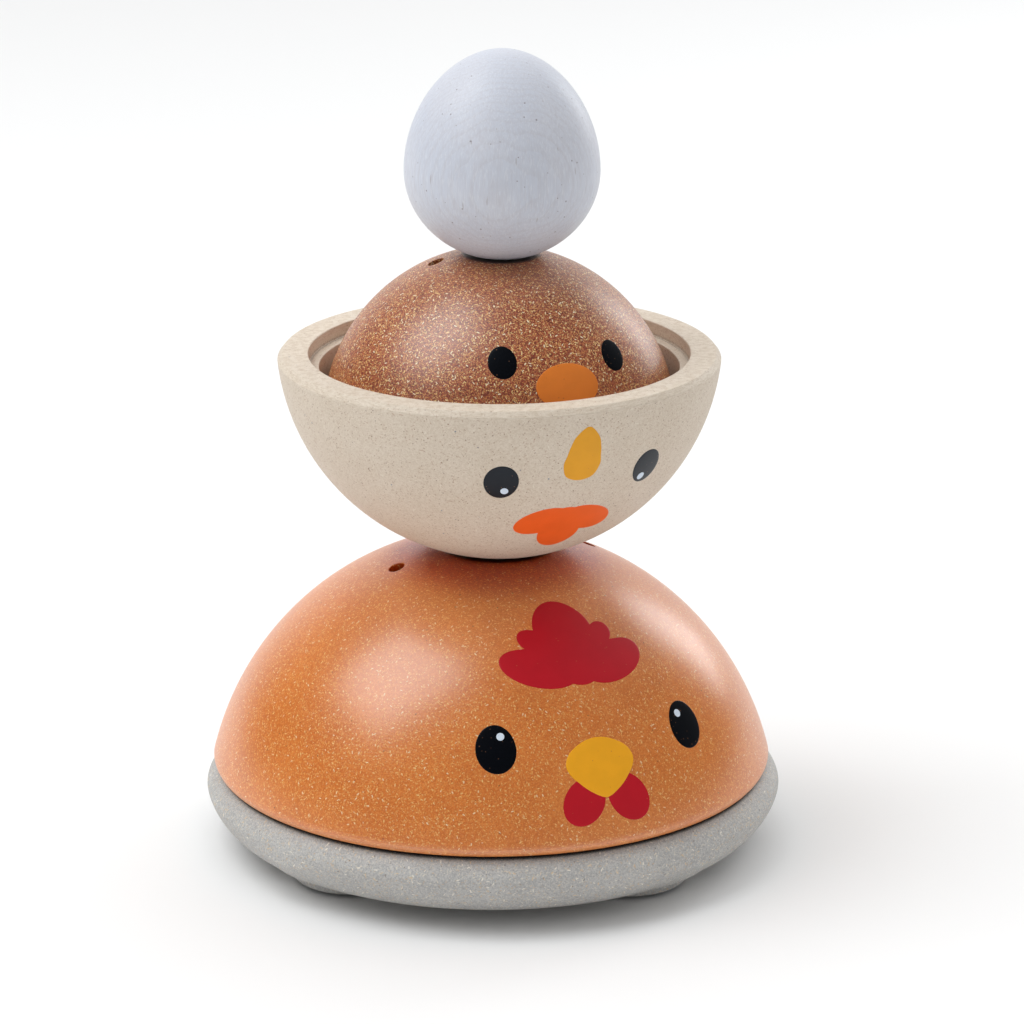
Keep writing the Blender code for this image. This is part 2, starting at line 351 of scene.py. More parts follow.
# %% Turn the egg
EGG_RADIUS, EGG_LOWER, EGG_UPPER, EGG_FLAT = 22.35, 20.5, 27.55, 19.4


def egg_section():
    """Half the section of the egg, from the tip down to the flat that it stands on."""
    upper = arc((0.0, 0.0), (EGG_RADIUS, EGG_UPPER), 0.0, 90.0, 56, 1.9)
    flat = 90.0 + math.degrees(math.asin(EGG_FLAT / EGG_LOWER))
    lower = arc((0.0, 0.0), (EGG_RADIUS, EGG_LOWER), 90.0, flat, 44)[1:]
    foot = eased([(*lower[-3], 0.0), (*lower[-1], 0.5), (0.0, -EGG_FLAT, 0.0)])
    return upper + lower[:-2] + foot + [(0.0, -EGG_FLAT)]


egg = turned("wooden_egg", egg_section(), 224)
shade_by_area(egg)
egg.location = Vector((2.05, -0.96, 160.15)) * MM
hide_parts("egg")
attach(egg, "egg")
print("the egg is", 2 * EGG_RADIUS, "mm across and", round(EGG_UPPER + EGG_FLAT, 2), "mm high")

# %% [markdown]
# ## Paint on a dome
#
# The faces are printed: each mark is a film of paint, as thin as a hair, that follows the dome. A
# texture mask could draw them, but then the edge is only as sharp as the texture. Here each mark is
# a real film. We draw its outline flat, in millimetres across and up, and lay it on the dome by its
# turn (degrees from the front, to the right) and tilt (degrees down from the crown).

# %% Lay a flat drawing on a dome
FILM_UNDER = 0.03


def laid(shell, turn, tilt, flat, lift):
    """Points on a shell's dome, in metres, for an array of (across, up) in millimetres."""
    steps = np.radians(np.linspace(0.0, 100.0, 4001))
    pace = np.hypot(shell["radius"] * np.cos(steps), shell["rise"] * np.sin(steps))
    walked = np.concatenate([[0.0], np.cumsum((pace[1:] + pace[:-1]) / 2.0 * np.diff(steps))])
    start = np.interp(math.radians(tilt), steps, walked)
    down = np.interp(start - flat[:, 1], walked, steps)
    round_by = math.radians(turn) + flat[:, 0] / (shell["radius"] * math.sin(math.radians(tilt)))
    unit = np.stack([np.sin(down) * np.sin(round_by), -np.sin(down) * np.cos(round_by), np.cos(down)], 1)
    size = np.array([shell["radius"], shell["radius"], shell["rise"]])
    outward = unit / size
    outward /= np.linalg.norm(outward, axis=1)[:, None]
    return (unit * size + outward * np.asarray(lift)[..., None] - [0.0, 0.0, shell["sink"]]) * MM


def film(name, shell, turn, tilt, middle, outline, thick):
    """A closed film of paint: rings that shrink to the middle above, and the same rings below."""
    rings = max(6, int(np.hypot(*outline.T).max() / 0.9))
    shares = np.concatenate([np.linspace(0.0, 0.97, rings), [0.99, 1.0]])
    lifts = np.concatenate([np.full(rings, 1.0), [0.85, 0.15]]) * thick
    levels = list(zip(shares, lifts)) + [(share, -FILM_UNDER) for share in shares[::-1]]
    form = bmesh.new()
    loops = []
    for share, lift in levels:
        if share == 0.0:
            place = laid(shell, turn, tilt, np.array([middle]), np.array([lift]))
            loops.append([form.verts.new(place[0])] * len(outline))
        else:
            flat = np.array(middle) + share * outline
            loops.append([form.verts.new(p) for p in laid(shell, turn, tilt, flat, np.full(len(flat), lift))])
    for low, high in zip(loops, loops[1:]):
        for i in range(len(outline)):
            j = (i + 1) % len(outline)
            corners = list(dict.fromkeys([low[i], high[i], high[j], low[j]]))
            form.faces.new(corners)
    mesh = bpy.data.meshes.new(name)
    form.to_mesh(mesh)
    form.free()
    mesh.shade_smooth()
    mesh.set_sharp_from_angle(angle=math.radians(50.0))
    return bpy.data.objects.new(name, mesh)


# %% [markdown]
# ## Outlines
#
# Three kinds of outline are enough for a hen's face. An oval makes eyes and wattles. A drop is given
# by its half widths at some heights, and makes beaks. A comb is a bunch of overlapping ovals:
# from the middle, each direction ends at the lobe that reaches furthest.

# %% Three ways to draw an outline
def rotated(points, degrees):
    c, s = math.cos(math.radians(degrees)), math.sin(math.radians(degrees))
    return points @ np.array([[c, s], [-s, c]])


def oval(half_width, half_height, lean=0.0, count=96):
    """An oval. A positive lean tips its top to the left."""
    turn = np.linspace(0.0, math.tau, count, endpoint=False)
    return rotated(np.stack([half_width * np.cos(turn), half_height * np.sin(turn)], 1), lean)


def drop(half_widths, fine=12):
    """A shape with like halves, from (height, half width) pairs down its right side."""
    right = [(width, height) for height, width in half_widths]
    knots = np.array(right + [(-w, h) for w, h in right[-2:0:-1]])[::-1]
    turns = []
    for i in range(len(knots)):
        a, b, c, d = (knots[(i + k) % len(knots)] for k in (-1, 0, 1, 2))
        for t in np.linspace(0.0, 1.0, fine, endpoint=False):
            cubic = (3 * b - a - 3 * c + d) * t + (2 * a - 5 * b + 4 * c - d)
            turns.append(b + 0.5 * ((c - a) + cubic * t) * t)
    return np.array(turns)


def bunch(lobes, count=360):
    """The outside of overlapping ovals, each (across, up, half width, half height, lean)."""
    turn = np.linspace(0.0, math.tau, count, endpoint=False)
    rays = np.stack([np.cos(turn), np.sin(turn)], 1)
    reach = np.zeros(count)
    for across, up, half_width, half_height, lean in lobes:
        size = np.array([half_width, half_height])
        start = rotated(np.array([[-across, -up]]), -lean)[0] / size
        ray = rotated(rays, -lean) / size
        a, b, c = (ray ** 2).sum(1), ray @ start, start @ start - 1.0
        inside = b * b - a * c
        hit = np.where(inside > 0.0, (-b + np.sqrt(np.maximum(inside, 0.0))) / a, 0.0)
        reach = np.maximum(reach, hit)
    return rays * reach[:, None]


print("an eye's outline is", np.ptp(oval(4.56, 5.63, 9.3), axis=0).round(1), "mm")

# %% [markdown]
# ## The faces
#
# Each face is a short list of marks. The hen has eyes with a white glint, a comb, a beak and two
# wattles that tuck under it. The white hen has the same without wattles, and the chick only eyes and
# a beak. A mark that lies on another gets a thicker film, so that it stays on top.

# %% Draw the marks
HEN_COMB = bunch([
    (1.22, 5.23, 7.85, 7.85, 0.0), (-6.94, 1.84, 4.64, 3.08, -32.3), (10.04, 1.59, 2.75, 3.55, -53.7),
    (-7.73, -5.28, 8.40, 4.70, -21.8), (9.55, -6.09, 8.04, 4.69, 19.6), (1.00, -7.07, 4.04, 3.54, 0.0),
])
WHITE_COMB = bunch([
    (0.47, 2.17, 5.14, 6.97, 5.8), (5.73, -3.74, 6.36, 4.33, 33.2), (-4.73, -3.52, 6.74, 4.23, -30.8),
    (0.60, -5.97, 3.06, 2.58, -10.9), (-4.04, -5.04, 4.75, 3.13, -15.4), (4.07, -5.35, 4.12, 3.20, -15.2),
])
HEN_BEAK = drop([
    (6.70, 0.0), (6.05, 3.5), (4.0, 6.95), (1.5, 8.35), (-0.8, 7.85), (-3.3, 5.75), (-5.5, 3.2), (-7.05, 0.0),
])
WHITE_BEAK = rotated(drop([
    (6.8, 0.0), (5.7, 3.3), (2.6, 4.5), (0.0, 4.1), (-2.1, 3.7), (-4.9, 2.7), (-7.3, 0.0),
]), -4.0)
THIN, OVER = 0.06, 0.10
ORIGIN = (0.0, 0.0)
ON_HEN, ON_WHITE, ON_CHICK = ("hen_dome", HEN), ("white_hen_bowl", WHITE), ("chick_dome", CHICK)
MARKS = (
    ("hen_eye_left", ON_HEN, -23.7, 56.7, ORIGIN, oval(4.56, 5.63, 9.3), THIN, "black"),
    ("hen_eye_right", ON_HEN, 25.35, 58.0, ORIGIN, oval(4.61, 5.66, -12.4), THIN, "black"),
    ("hen_glint_left", ON_HEN, -22.6, 54.3, ORIGIN, oval(0.9, 0.9), OVER, "white"),
    ("hen_glint_right", ON_HEN, 24.5, 55.55, ORIGIN, oval(0.93, 0.93), OVER, "white"),
    ("hen_comb", ON_HEN, 0.0, 36.5, ORIGIN, HEN_COMB, THIN, "crimson"),
    ("hen_beak", ON_HEN, -0.15, 61.5, ORIGIN, HEN_BEAK, OVER, "ochre"),
    ("hen_wattle_left", ON_HEN, 0.0, 61.5, (-5.39, -7.40), oval(4.52, 5.64, -32.6), THIN, "crimson"),
    ("hen_wattle_right", ON_HEN, 0.0, 61.5, (4.98, -7.62), oval(4.52, 5.89, 28.8), THIN, "crimson"),
    ("white_hen_eye_right", ON_WHITE, 24.4, 65.7, ORIGIN, oval(3.91, 4.68, -10.4), THIN, "black"),
    ("white_hen_eye_left", ON_WHITE, -19.9, 65.4, ORIGIN, oval(3.85, 4.60, 10.4), THIN, "black"),
    ("white_hen_glint_right", ON_WHITE, 23.5, 62.95, ORIGIN, oval(0.9, 0.9), OVER, "white"),
    ("white_hen_glint_left", ON_WHITE, -19.1, 62.4, ORIGIN, oval(1.0, 1.0), OVER, "white"),
    ("white_hen_comb", ON_WHITE, 2.3, 46.0, ORIGIN, WHITE_COMB, THIN, "vermilion"),
    ("white_hen_beak", ON_WHITE, 2.25, 72.6, ORIGIN, WHITE_BEAK, THIN, "shaded_ochre"),
    ("chick_eye_left", ON_CHICK, -23.6, 54.4, ORIGIN, oval(3.23, 3.92, 10.6), THIN, "black"),
    ("chick_eye_right", ON_CHICK, 23.3, 56.4, ORIGIN, oval(3.07, 3.78, -11.8), THIN, "black"),
    ("chick_beak", ON_CHICK, 0.15, 61.5, (0.0, -1.25), oval(7.5, 5.25), THIN, "orange"),
)
PAINTED = {}
for name, (piece, shell), turn, tilt, middle, outline, thick, coat in MARKS:
    mark = film(name, shell, turn, tilt, middle, outline, thick)
    bpy.context.scene.collection.objects.link(mark)
    mark.matrix_world = SHELLS[piece].matrix_world
    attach(mark, SHELLS[piece]["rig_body"])
    PAINTED.setdefault(coat, []).append(mark)
print("marks:", {coat: len(marks) for coat, marks in PAINTED.items()})

# %% [markdown]
# ## Short words for shader nodes
#
# Node trees are long when every node is spelled out. A few small helpers keep them readable: each
# makes one node, fills its inputs with numbers or with other nodes' outputs, and hands back the
# output that the next step needs.

# %% Node helpers
def add(tree, kind, inputs, **settings):
    """A node with its settings and inputs. An input is a value or another node's output."""
    made = tree.nodes.new(kind)
    for key, value in settings.items():
        setattr(made, key, value)
    for key, value in inputs.items():
        if isinstance(value, bpy.types.NodeSocket):
            tree.links.new(value, made.inputs[key])
        else:
            made.inputs[key].default_value = value
    return made


def sums(tree, operation, *values):
    """A Math node's result."""
    return add(tree, "ShaderNodeMath", dict(enumerate(values)), operation=operation).outputs[0]


def vectors(tree, operation, *values, output="Vector"):
    """A Vector Math node's result."""
    return add(tree, "ShaderNodeVectorMath", dict(enumerate(values)), operation=operation).outputs[output]


def blend(tree, share, first, second, how="MIX"):
    """Two colours mixed by a share from 0 to 1."""
    made = add(tree, "ShaderNodeMix", {0: share, 6: first, 7: second}, data_type="RGBA", blend_type=how)
    return made.outputs[2]


def between(tree, value, low, high, start=0.0, end=1.0):
    """A value eased from start to end while it goes from low to high."""
    inputs = {"Value": value, "From Min": low, "From Max": high, "To Min": start, "To Max": end}
    return add(tree, "ShaderNodeMapRange", inputs, interpolation_type="SMOOTHSTEP").outputs["Result"]


def cloud(tree, where, size, detail=2.0):
    """Soft noise from 0 to 1, with lumps of a size in millimetres."""
    inputs = {"Vector": where, "Scale": 1.0 / (size * MM), "Detail": detail}
    return add(tree, "ShaderNodeTexNoise", inputs).outputs[0]


def srgb(red, green, blue):
    """A colour as a picture stores it, from 0 to 255, turned into the light that a shader uses."""
    parts = [c / 255.0 for c in (red, green, blue)]
    light = [c / 12.92 if c <= 0.04045 else ((c + 0.055) / 1.055) ** 2.4 for c in parts]
    return (*light, 1.0)


print("mid grey as light:", round(srgb(128, 128, 128)[0], 3))

# %% [markdown]
# ## Wood fibres
#
# Pressed sawdust shows thousands of short splinters, each lying flat in the surface at its own
# angle. A stretched noise would lay them all one way. Instead a Voronoi texture gives each small
# cell its own point and random colour. From the point we measure along a random direction in the
# surface and across it, and keep what is near the line: a rod with round ends, a new one per cell.

# %% The fibre group
def fibre_group():
    """A node group whose Mask is 1 on a fibre, and whose Tone is a random number for each fibre."""
    tree = bpy.data.node_groups.new("wood fibres", "ShaderNodeTree")
    for name, kind in (("Vector", "NodeSocketVector"), ("Normal", "NodeSocketVector")):
        tree.interface.new_socket(name, in_out="INPUT", socket_type=kind)
    for name in ("Cells", "Shortest", "Longest", "Width", "Share"):
        tree.interface.new_socket(name, in_out="INPUT", socket_type="NodeSocketFloat")
    for name in ("Mask", "Tone"):
        tree.interface.new_socket(name, in_out="OUTPUT", socket_type="NodeSocketFloat")
    given = tree.nodes.new("NodeGroupInput").outputs
    cells = add(tree, "ShaderNodeTexVoronoi", {"Vector": given["Vector"], "Scale": given["Cells"]})
    dice = add(tree, "ShaderNodeTexWhiteNoise", {"Vector": cells.outputs["Position"]})
    lean = vectors(tree, "SUBTRACT", cells.outputs["Color"], (0.5, 0.5, 0.5))
    along = vectors(tree, "NORMALIZE", vectors(tree, "CROSS_PRODUCT", given["Normal"], lean))
    away = vectors(tree, "SUBTRACT", given["Vector"], cells.outputs["Position"])
    sunk = vectors(tree, "DOT_PRODUCT", away, given["Normal"], output="Value")
    away = vectors(tree, "SUBTRACT", away, vectors(tree, "MULTIPLY", given["Normal"], sunk))
    run = vectors(tree, "DOT_PRODUCT", away, along, output="Value")
    across = vectors(tree, "SUBTRACT", away, vectors(tree, "MULTIPLY", along, run))
    across = vectors(tree, "LENGTH", across, output="Value")
    parts = add(tree, "ShaderNodeSeparateColor", {0: dice.outputs["Color"]}).outputs
    span = sums(tree, "SUBTRACT", given["Longest"], given["Shortest"])
    half = sums(tree, "MULTIPLY_ADD", parts[0], span, given["Shortest"])
    half = sums(tree, "MULTIPLY", half, 0.5)
    past = sums(tree, "MAXIMUM", sums(tree, "SUBTRACT", sums(tree, "ABSOLUTE", run), half), 0.0)
    squares = sums(tree, "ADD", sums(tree, "POWER", across, 2.0), sums(tree, "POWER", past, 2.0))
    distance = sums(tree, "SQRT", squares)
    radius = sums(tree, "MULTIPLY", given["Width"], sums(tree, "MULTIPLY_ADD", parts[1], 0.4, 0.3))
    mask = between(tree, sums(tree, "DIVIDE", distance, radius), 0.6, 1.3, 1.0, 0.0)
    kept = sums(tree, "LESS_THAN", dice.outputs["Value"], given["Share"])
    out = tree.nodes.new("NodeGroupOutput")
    tree.links.new(sums(tree, "MULTIPLY", mask, kept), out.inputs["Mask"])
    tree.links.new(parts[2], out.inputs["Tone"])
    return tree


FIBRES = fibre_group()


def fibres(tree, where, normal, cell, shortest, longest, width, share):
    """One layer of fibres: cell size, lengths and width in millimetres, and the share of cells used."""
    inputs = {
        "Vector": where, "Normal": normal, "Cells": 1.0 / (cell * MM), "Shortest": shortest * MM,
        "Longest": longest * MM, "Width": width * MM, "Share": share,
    }
    made = add(tree, "ShaderNodeGroup", {}, node_tree=FIBRES)
    for key, value in inputs.items():
        if isinstance(value, bpy.types.NodeSocket):
            tree.links.new(value, made.inputs[key])
        else:
            made.inputs[key].default_value = value
    return made.outputs["Mask"], made.outputs["Tone"]


print("nodes in the fibre group:", len(FIBRES.nodes))

# %% [markdown]
# ## Pressed sawdust, dyed four ways
#
# The dish and the shells are one stuff, pressed from sawdust and dyed in the mass. So one recipe
# serves them all: a ground colour with soft clouds, a crumb pattern in which every grain of dust is
# a little darker or lighter, then layers of fibres, each with two colours that its Tone chooses
# between. The fibres stand proud of the ground by a hundredth of a millimetre. So do the finest
# marks of the lathe: rings about the axis, half a millimetre apart, that only show in the sheen.
# Along the edge of a shell runs a narrow paler band. On the white hen it is the scraped chamfer, and on the
# hen it is a painted reflection of the pale dish in the rounded edge, drawn with the same scraped pattern.
#
# Where two pieces nearly touch, the gap lies in deep shade. An Ambient Occlusion node with a reach of
# about a millimetre paints that shade into the colour as a black line, and the line goes away again
# when the piece is lifted. Under the bowl the hen's crown is painted a deeper orange, as painted shade
# and bounced light: light that bounces twice off a colour takes on that colour twice. A second
# node with a longer reach mixes the colour with its own square there.

# %% Sizes in the composite, in millimetres
WAVE_SIZE, WAVE_REACH = 1.1, 0.25
CLOUD_SIZE = 14.0
EDGE_BAND_PATTERN, EDGE_BAND_SOFTNESS = 1.6, 0.15
LATHE_PITCH = 0.5
RELIEF_DEPTH = 0.012
GAP_REACH, CROWN_REACH = 1.3, 12.0
LACQUER_IOR = 1.7
print("the lathe leaves", round(1.0 / LATHE_PITCH), "rings in a millimetre, under", RELIEF_DEPTH, "mm high")

# %% The composite recipe
def new_material(name):
    """A material with an empty tree, a Principled shader and the place and normal of each point."""
    material = bpy.data.materials.new(name)
    material.use_nodes = True
    tree = material.node_tree
    spot = tree.nodes.new("ShaderNodeTexCoord").outputs
    return material, tree, tree.nodes["Principled BSDF"], spot["Object"], spot["Normal"]


def composite(name, ground, clouds, crumbs, layers, roughness, gloss, band, shaded=None):
    """Pressed sawdust. Each layer is (cell, shortest, longest, width, share, colour, colour, strength).

    The crumbs are (size in millimetres, dark colour, pale colour, strength). The band is how high the
    paler band at the edge is, in millimetres: scraped, and on the hen a painted reflection of the dish.
    Above the height called shaded, covered places get a painted deeper shade, and near gaps a painted black
    shade.
    """
    material, tree, shader, where, normal = new_material(name)
    wave = add(tree, "ShaderNodeTexNoise", {"Vector": where, "Scale": 1.0 / (WAVE_SIZE * MM), "Detail": 1.0})
    wave = vectors(tree, "SUBTRACT", wave.outputs["Color"], (0.5, 0.5, 0.5))
    bent = vectors(tree, "ADD", where, vectors(tree, "MULTIPLY", wave, (WAVE_REACH * MM,) * 3))
    soft = between(tree, cloud(tree, where, CLOUD_SIZE, 3.0), 0.3, 0.7)
    colour = blend(tree, soft, ground, clouds)
    size, dark, pale, contrast = crumbs
    crumb = add(tree, "ShaderNodeTexVoronoi", {"Vector": bent, "Scale": 1.0 / (size * MM)}).outputs["Color"]
    crumb = add(tree, "ShaderNodeSeparateColor", {0: crumb}).outputs[0]
    colour = blend(tree, between(tree, crumb, 0.1, 0.5, contrast, 0.0), colour, dark)
    colour = blend(tree, between(tree, crumb, 0.5, 0.9, 0.0, contrast), colour, pale)
    height = crumb
    for cell, shortest, longest, width, share, first, second, strength in layers:
        mask, tone = fibres(tree, bent, normal, cell, shortest, longest, width, share)
        pick = blend(tree, between(tree, tone, 0.3, 0.7), first, second)
        colour = blend(tree, sums(tree, "MULTIPLY", mask, strength), colour, pick)
        height = sums(tree, "MULTIPLY_ADD", mask, 1.5, height)
    level = add(tree, "ShaderNodeSeparateXYZ", {0: where}).outputs[2]
    # Paler edge band: a scraped chamfer on the white hen, and on the hen a painted reflection of the pale
    # dish.
    edge = between(tree, level, band * MM, (band + EDGE_BAND_SOFTNESS) * MM, 1.0, 0.0)
    squashed = vectors(tree, "MULTIPLY", where, (1.0, 1.0, 7.0))
    scrape_and_reflection = sums(tree, "MULTIPLY", edge, between(tree, cloud(tree, squashed, EDGE_BAND_PATTERN, 3.0), 0.35, 0.65))
    colour = blend(tree, sums(tree, "MULTIPLY", sums(tree, "SUBTRACT", edge, scrape_and_reflection), 0.35), colour, dark)
    colour = blend(tree, sums(tree, "MULTIPLY", scrape_and_reflection, 0.5), colour, pale)
    height = sums(tree, "MULTIPLY_ADD", scrape_and_reflection, 2.5, height)
    # Painted shade and bounced light: under the bowl, covered places on the crown take the colour times
    # itself.
    if shaded:
        crown_shade_occlusion = add(tree, "ShaderNodeAmbientOcclusion", {"Distance": CROWN_REACH * MM}, samples=6)
        crown = between(tree, level, shaded * MM, (shaded + 4.0) * MM)
        painted_crown_shade = sums(tree, "MULTIPLY", between(tree, crown_shade_occlusion.outputs["AO"], 0.35, 0.95, 0.9, 0.0), crown)
        colour = blend(tree, painted_crown_shade, colour, vectors(tree, "MULTIPLY", colour, colour))
    # Painted shade: near gaps between pieces are darkened to black in the colour by a short Ambient
    # Occlusion.
    painted_gap_shade = add(tree, "ShaderNodeAmbientOcclusion", {"Distance": GAP_REACH * MM}, samples=6).outputs["AO"]
    colour = vectors(tree, "MULTIPLY", colour, between(tree, painted_gap_shade, 0.4, 0.8, 0.04, 1.0))
    tree.links.new(colour, shader.inputs["Base Color"])
    shader.inputs["Roughness"].default_value = roughness
    shader.inputs["Specular IOR Level"].default_value = gloss
    shader.inputs["IOR"].default_value = LACQUER_IOR
    axis = vectors(tree, "LENGTH", vectors(tree, "MULTIPLY", where, (1.0, 1.0, 0.0)), output="Value")
    lathe = sums(tree, "SINE", sums(tree, "MULTIPLY", axis, math.tau / (LATHE_PITCH * MM)))
    height = sums(tree, "MULTIPLY_ADD", lathe, 0.3, height)
    bump = add(tree, "ShaderNodeBump", {"Height": height, "Strength": 0.35, "Distance": RELIEF_DEPTH * MM})
    tree.links.new(bump.outputs[0], shader.inputs["Normal"])
    return material


# %% [markdown]
# Now the four colours. The chick is the darkest and shows its golden splinters best, the hen is a
# warm terracotta with the same splinters in softer contrast, the white hen is undyed with a few
# odd specks, and the dish is a cool grey with tan and white flecks.

# %% Four composites
GOLD, STRAW, CREAM = srgb(226, 160, 84), srgb(244, 206, 134), srgb(248, 232, 196)
BARK, SOOT = srgb(104, 56, 32), srgb(84, 78, 76)
chick_stuff = composite(
    "chick_composite", srgb(146, 57, 25), srgb(160, 69, 32),
    (0.28, srgb(84, 30, 11), srgb(204, 116, 60), 0.52),
    [
        (0.34, 0.10, 0.35, 0.15, 0.55, srgb(208, 136, 78), GOLD, 0.8),
        (0.55, 0.15, 0.5, 0.17, 0.52, GOLD, STRAW, 0.95),
        (1.05, 0.3, 0.9, 0.20, 0.4, STRAW, CREAM, 1.0),
    ],
    0.37, 0.85, 0.0,
)
hen_stuff = composite(
    "hen_composite", srgb(214, 117, 38), srgb(224, 127, 46),
    (0.28, srgb(196, 96, 34), srgb(236, 150, 74), 0.4),
    [
        (0.38, 0.10, 0.35, 0.16, 0.45, srgb(238, 166, 88), srgb(204, 106, 44), 0.55),
        (0.65, 0.15, 0.55, 0.18, 0.45, srgb(244, 180, 96), srgb(248, 202, 126), 0.7),
        (1.25, 0.3, 0.9, 0.21, 0.25, srgb(250, 210, 136), srgb(250, 230, 188), 0.75),
        (2.6, 0.1, 0.4, 0.26, 0.06, BARK, srgb(132, 92, 44), 0.6),
    ],
    0.28, 0.8, 2.0, shaded=36.0,
)
white_stuff = composite(
    "white_composite", srgb(210, 195, 176), srgb(215, 201, 183),
    (0.28, srgb(198, 180, 158), srgb(226, 214, 198), 0.4),
    [
        (0.6, 0.15, 0.5, 0.17, 0.3, srgb(228, 216, 199), srgb(190, 166, 142), 0.5),
        (0.85, 0.15, 0.6, 0.18, 0.35, srgb(152, 114, 86), srgb(178, 142, 116), 0.6),
        (2.0, 0.8, 2.0, 0.22, 0.12, srgb(232, 224, 208), srgb(172, 132, 106), 0.5),
        (1.5, 0.05, 0.25, 0.21, 0.2, srgb(120, 82, 56), srgb(146, 112, 88), 0.8),
        (4.0, 0.05, 0.4, 0.30, 0.08, srgb(120, 70, 44), srgb(92, 112, 134), 0.8),
    ],
    0.6, 0.35, 1.7,
)
grey_stuff = composite(
    "grey_composite", srgb(179, 178, 176), srgb(187, 186, 184),
    (0.28, srgb(154, 153, 154), srgb(206, 203, 197), 0.5),
    [
        (0.42, 0.10, 0.4, 0.17, 0.45, srgb(216, 210, 196), srgb(150, 147, 144), 0.6),
        (0.75, 0.2, 0.65, 0.20, 0.4, srgb(222, 214, 194), srgb(198, 172, 138), 0.7),
        (1.5, 0.4, 1.3, 0.24, 0.28, srgb(236, 230, 216), srgb(216, 190, 148), 0.85),
        (2.2, 0.05, 0.4, 0.28, 0.2, SOOT, srgb(128, 104, 80), 0.6),
    ],
    0.6, 0.3, 0.0,
)
for piece, stuff in ((SHELLS["chick_dome"], chick_stuff), (SHELLS["hen_dome"], hen_stuff),
                     (SHELLS["white_hen_bowl"], white_stuff), (nest, grey_stuff)):
    piece.data.materials.clear()
    piece.data.materials.append(stuff)
    print(piece.name, "is", stuff.name, "with", len(stuff.node_tree.nodes), "nodes")

# %% [markdown]
# ## Washed wood for the egg
#
# The egg is real wood under a thin cool wash. Its grain runs up the egg, so year rings are cylinders
# about an upright line just behind it. Where the surface just touches a ring, the rings draw the
# small arches that flat-sawn boards have. On top go short upright pores and a few pin marks.

# %% The egg's finish
RING_AXIS = (12.0 * MM, 30.0 * MM, 0.0)
RING_SPACING, RING_SWAY = 1.15 * MM, 3.0 * MM
GRAIN_STRETCH = (1.0, 1.0, 0.12)


def washed_wood(name):
    material, tree, shader, where, normal = new_material(name)
    stretched = add(tree, "ShaderNodeMapping", {"Vector": where, "Scale": GRAIN_STRETCH}).outputs[0]
    sway = cloud(tree, stretched, 9.0, 2.0)
    side = vectors(tree, "SUBTRACT", where, RING_AXIS)
    flat = vectors(tree, "MULTIPLY", side, (1.0, 1.0, 0.0))
    radius = vectors(tree, "LENGTH", flat, output="Value")
    radius = sums(tree, "ADD", radius, sums(tree, "MULTIPLY", sway, RING_SWAY))
    rings = sums(tree, "FRACT", sums(tree, "DIVIDE", radius, RING_SPACING))
    late = between(tree, rings, 0.55, 1.0)
    streak = between(tree, cloud(tree, stretched, 0.55, 3.0), 0.35, 0.75)
    wash = between(tree, cloud(tree, where, 16.0, 2.0), 0.3, 0.7)
    colour = blend(tree, wash, srgb(202, 207, 219), srgb(208, 211, 221))
    colour = blend(tree, sums(tree, "MULTIPLY", late, 0.14), colour, srgb(178, 172, 174))
    colour = blend(tree, sums(tree, "MULTIPLY", streak, 0.24), colour, srgb(184, 178, 184))
    brushed = between(tree, cloud(tree, stretched, 0.3, 2.0), 0.5, 0.7)
    colour = blend(tree, sums(tree, "MULTIPLY", brushed, 0.35), colour, srgb(226, 229, 235))
    long_pores = fibres(tree, stretched, normal, 1.5, 0.05, 0.1, 0.16, 0.10)[0]
    pins = fibres(tree, where, normal, 3.2, 0.02, 0.2, 0.30, 0.20)[0]
    colour = blend(tree, sums(tree, "MULTIPLY", long_pores, 0.5), colour, srgb(150, 136, 134))
    colour = blend(tree, sums(tree, "MULTIPLY", pins, 0.7), colour, srgb(124, 112, 118))
    tree.links.new(colour, shader.inputs["Base Color"])
    height = sums(tree, "SUBTRACT", sums(tree, "MULTIPLY", streak, 0.3), sums(tree, "ADD", pins, long_pores))
    bump = add(tree, "ShaderNodeBump", {"Height": height, "Strength": 0.3, "Distance": 0.015 * MM})
    tree.links.new(bump.outputs[0], shader.inputs["Normal"])
    tree.links.new(sums(tree, "MULTIPLY_ADD", streak, 0.08, 0.40), shader.inputs["Roughness"])
    return material


egg.data.materials.clear()
egg.data.materials.append(washed_wood("washed_wood"))
print("the egg's finish has", len(egg.data.materials[0].node_tree.nodes), "nodes")

# %% [markdown]
# ## Printed paint
#
# The paint is smooth and a little glossier than the stuff under it. It isn't perfect: printed on
# fibres, it leaves pinholes where the colour below shows, and the fibres lift it slightly. The
# black eyes show this best. Their sheen is a little blue, as on many inks, and a uniform Specular
# Tint gives that.

# %% Seven paints
def paint(name, colour, below, roughness, holes, gloss=0.3, sheen=(1.0, 1.0, 1.0, 1.0)):
    material, tree, shader, where, normal = new_material(name)
    pins = fibres(tree, where, normal, 0.9, 0.02, 0.25, 0.2, holes)[0]
    tint = between(tree, cloud(tree, where, 4.0, 2.0), 0.3, 0.7, 0.97, 1.02)
    shade = add(tree, "ShaderNodeVectorMath", {0: colour[:3], "Scale": tint}, operation="SCALE").outputs[0]
    mixed = blend(tree, sums(tree, "MULTIPLY", pins, 0.75), shade, below)
    tree.links.new(mixed, shader.inputs["Base Color"])
    ridges = fibres(tree, where, normal, 1.3, 0.4, 1.6, 0.3, 0.5)[0]
    bump = add(tree, "ShaderNodeBump", {"Height": ridges, "Strength": 0.25, "Distance": 0.012 * MM})
    tree.links.new(bump.outputs[0], shader.inputs["Normal"])
    shader.inputs["Roughness"].default_value = roughness
    shader.inputs["Specular IOR Level"].default_value = gloss
    shader.inputs["Specular Tint"].default_value = sheen
    return material


